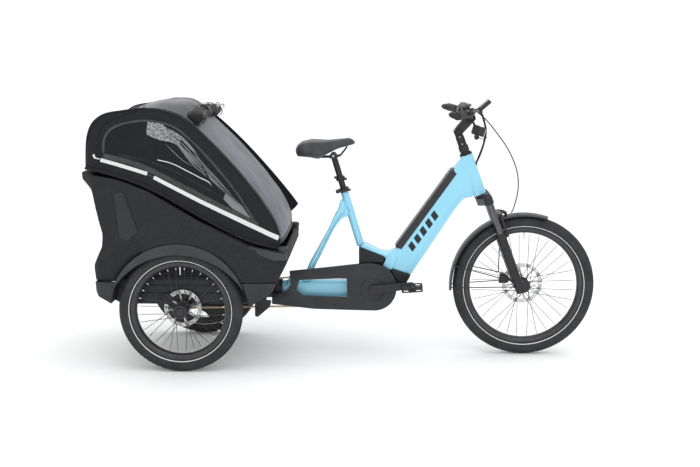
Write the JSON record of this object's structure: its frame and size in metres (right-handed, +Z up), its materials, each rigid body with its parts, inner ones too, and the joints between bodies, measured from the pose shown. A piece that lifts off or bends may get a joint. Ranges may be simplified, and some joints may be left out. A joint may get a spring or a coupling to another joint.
{
  "type": "cargo tricycle",
  "caption": "Tilting electric cargo tricycle with a covered child box over its rear wheels, a low step-through frame and a suspension fork.",
  "frame": {"origin": "on the floor under the middle of the bounding box", "axes": "+X forward, +Y to the rider's left, +Z up"},
  "size_m": [2.1866, 0.732, 1.1413],
  "materials": {
    "foam_body": "granular",
    "shell_plastic": "satin",
    "arch_plastic": "satin",
    "canopy_fabric": "woven",
    "canopy_tube": "anodised",
    "frame_paint": "satin",
    "black_metal": "satin",
    "motor_plastic": "matt",
    "case_plastic": "satin",
    "battery_plastic": "satin",
    "tyre_rubber": "matt",
    "rim_black": "anodised",
    "hub_steel": "brushed",
    "rotor_steel": "brushed",
    "chain_steel": "oiled",
    "seat_fabric": "woven",
    "webbing": "woven",
    "lamp_red": "gloss",
    "saddle_cover": "satin",
    "grip_rubber": "matt",
    "fork_metal": "satin",
    "control_metal": "satin",
    "display_glass": "gloss",
    "lamp_body": "satin",
    "fender_plastic": "satin",
    "hose_rubber": "satin"
  },
  "bodies": {
    "rear_module": {"box_shell": "foam_body", "box_lower_shell": "shell_plastic", "box_rim": "shell_plastic", "wheel_arches": "arch_plastic", "chassis": "black_metal", "tilt_housing": "black_metal", "child_seat": "seat_fabric", "harnesses": "webbing", "tail_lights": "lamp_red", "rear_callipers": "black_metal", "drive_case": "black_metal"},
    "canopy": {"canopy_cover": "canopy_fabric", "canopy_frame": "canopy_tube"},
    "rear_wheel_right": {"rear_tyre_right": "tyre_rubber", "rear_rim_right": "rim_black", "rear_hub_right": "hub_steel", "rear_rotor_right": "rotor_steel"},
    "rear_wheel_left": {"rear_tyre_left": "tyre_rubber", "rear_rim_left": "rim_black", "rear_hub_left": "hub_steel", "rear_rotor_left": "rotor_steel"},
    "front_frame": {"down_tube": "frame_paint", "seat_tube": "frame_paint", "seat_stays": "frame_paint", "rear_tube": "frame_paint", "motor": "motor_plastic", "chain_case": "case_plastic", "seat_clamp": "black_metal", "chain": "chain_steel", "cable_bundle": "hose_rubber"},
    "seat_clamp_lever": {"seat_clamp_lever": "black_metal"},
    "seat_post": {"seat_post": "black_metal"},
    "saddle": {"saddle": "saddle_cover"},
    "battery": {"battery": "battery_plastic"},
    "crank": {"crankset": "black_metal", "chainring": "black_metal"},
    "pedal_right": {"pedal_right": "motor_plastic"},
    "pedal_left": {"pedal_left": "motor_plastic"},
    "rear_sprocket": {"rear_sprocket": "chain_steel"},
    "steering": {"fork_upper": "fork_metal"},
    "stem_riser": {"stem_riser": "control_metal"},
    "cockpit": {"stem_head": "control_metal", "handlebar": "control_metal", "grips": "grip_rubber", "brake_masters": "control_metal", "display": "display_glass", "headlight": "lamp_body", "bell": "control_metal"},
    "twist_shifter": {"twist_shifter": "grip_rubber"},
    "brake_lever_right": {"brake_lever_right": "control_metal"},
    "brake_lever_left": {"brake_lever_left": "control_metal"},
    "bell_striker": {"bell_striker": "control_metal"},
    "fork_lower": {"fork_lower": "fork_metal", "front_fender": "fender_plastic", "front_calliper": "black_metal", "brake_hose": "hose_rubber"},
    "front_wheel": {"front_tyre": "tyre_rubber", "front_rim": "rim_black", "front_hub": "hub_steel", "front_rotor": "rotor_steel"}
  },
  "joints": [
    {"name": "tilt", "type": "hinge", "parent": "rear_module", "child": "front_frame", "pos_m": [-0.3605, 0, 0.29], "axis": [1, 0, 0], "range_deg": [-20, 20], "stiffness_Nm_per_rad": 400, "deforming": ["chain"]},
    {"name": "steer", "type": "hinge", "parent": "front_frame", "child": "steering", "pos_m": [0.58468, 0, 0.71563], "axis": [-0.3502, 0, 0.9367], "range_deg": [-45, 45], "deforming": ["cable_bundle"]},
    {"name": "fork_travel", "type": "slide", "parent": "steering", "child": "fork_lower", "axis": [-0.3502, 0, 0.9367], "range_m": [0, 0.05], "stiffness_N_per_m": 15000, "springref_m": -0.03, "deforming": ["brake_hose"]},
    {"name": "front_wheel_spin", "type": "hinge", "parent": "fork_lower", "child": "front_wheel", "pos_m": [0.7815, 0, 0.312], "axis": [0, 1, 0], "continuous": true},
    {"name": "rear_wheel_right_spin", "type": "hinge", "parent": "rear_module", "child": "rear_wheel_right", "pos_m": [-0.6905, -0.32, 0.262], "axis": [0, 1, 0], "continuous": true},
    {"name": "rear_wheel_left_spin", "type": "hinge", "parent": "rear_module", "child": "rear_wheel_left", "pos_m": [-0.6905, 0.32, 0.262], "axis": [0, 1, 0], "continuous": true},
    {"name": "crank_spin", "type": "hinge", "parent": "front_frame", "child": "crank", "pos_m": [0.1165, 0, 0.303], "axis": [0, 1, 0], "continuous": true},
    {"name": "pedal_right_spin", "type": "hinge", "parent": "crank", "child": "pedal_right", "pos_m": [0.28508, -0.146, 0.3249], "axis": [0, 1, 0], "continuous": true},
    {"name": "pedal_left_spin", "type": "hinge", "parent": "crank", "child": "pedal_left", "pos_m": [-0.05208, 0.146, 0.2811], "axis": [0, 1, 0], "continuous": true},
    {"name": "rear_sprocket_spin", "type": "hinge", "parent": "rear_module", "child": "rear_sprocket", "pos_m": [-0.6905, -0.05, 0.262], "axis": [0, 1, 0], "continuous": true},
    {"name": "seat_height", "type": "slide", "parent": "front_frame", "child": "seat_post", "axis": [-0.2873, 0, 0.9578], "range_m": [-0.02, 0.1]},
    {"name": "saddle_tilt", "type": "hinge", "parent": "seat_post", "child": "saddle", "pos_m": [-0.0602, 0, 0.887], "axis": [0, 1, 0], "range_deg": [-12, 12]},
    {"name": "seat_clamp_release", "type": "hinge", "parent": "front_frame", "child": "seat_clamp_lever", "pos_m": [-0.04191, 0, 0.72857], "axis": [0, -1, 0], "range_deg": [0, 120]},
    {"name": "battery_release", "type": "slide", "parent": "front_frame", "child": "battery", "axis": [-0.8153, 0, 0.579], "range_m": [0, 0.12]},
    {"name": "stem_height", "type": "slide", "parent": "steering", "child": "stem_riser", "axis": [-0.3502, 0, 0.9367], "range_m": [0, 0.05]},
    {"name": "stem_angle", "type": "hinge", "parent": "stem_riser", "child": "cockpit", "pos_m": [0.48172, 0, 0.99102], "axis": [0, 1, 0], "range_deg": [-25, 15]},
    {"name": "shifter_twist", "type": "hinge", "parent": "cockpit", "child": "twist_shifter", "pos_m": [0.49509, -0.18708, 1.07639], "axis": [-0.2654, -0.9637, 0.0282], "range_deg": [-40, 40]},
    {"name": "brake_lever_right_pull", "type": "hinge", "parent": "cockpit", "child": "brake_lever_right", "pos_m": [0.54271, -0.18929, 1.09449], "axis": [0.3476, -0.1229, -0.9296], "range_deg": [0, 12], "stiffness_Nm_per_rad": 1.5, "springref_deg": -8.59},
    {"name": "brake_lever_left_pull", "type": "hinge", "parent": "cockpit", "child": "brake_lever_left", "pos_m": [0.54271, 0.18929, 1.09449], "axis": [-0.3476, -0.1229, 0.9296], "range_deg": [0, 12], "stiffness_Nm_per_rad": 1.5, "springref_deg": -8.59},
    {"name": "bell_ring", "type": "hinge", "parent": "cockpit", "child": "bell_striker", "pos_m": [0.46921, -0.10876, 1.08184], "axis": [-0.3502, 0, 0.9367], "range_deg": [0, 25], "stiffness_Nm_per_rad": 0.02, "springref_deg": -11.46},
    {"name": "canopy_open", "type": "hinge", "parent": "rear_module", "child": "canopy", "pos_m": [-1.0625, 0, 0.876], "axis": [0, -1, 0], "range_deg": [0, 15]}
  ],
  "couplings": [
    {"joint": "rear_sprocket_spin", "follows": "crank_spin", "ratio": 1.4615}
  ]
}
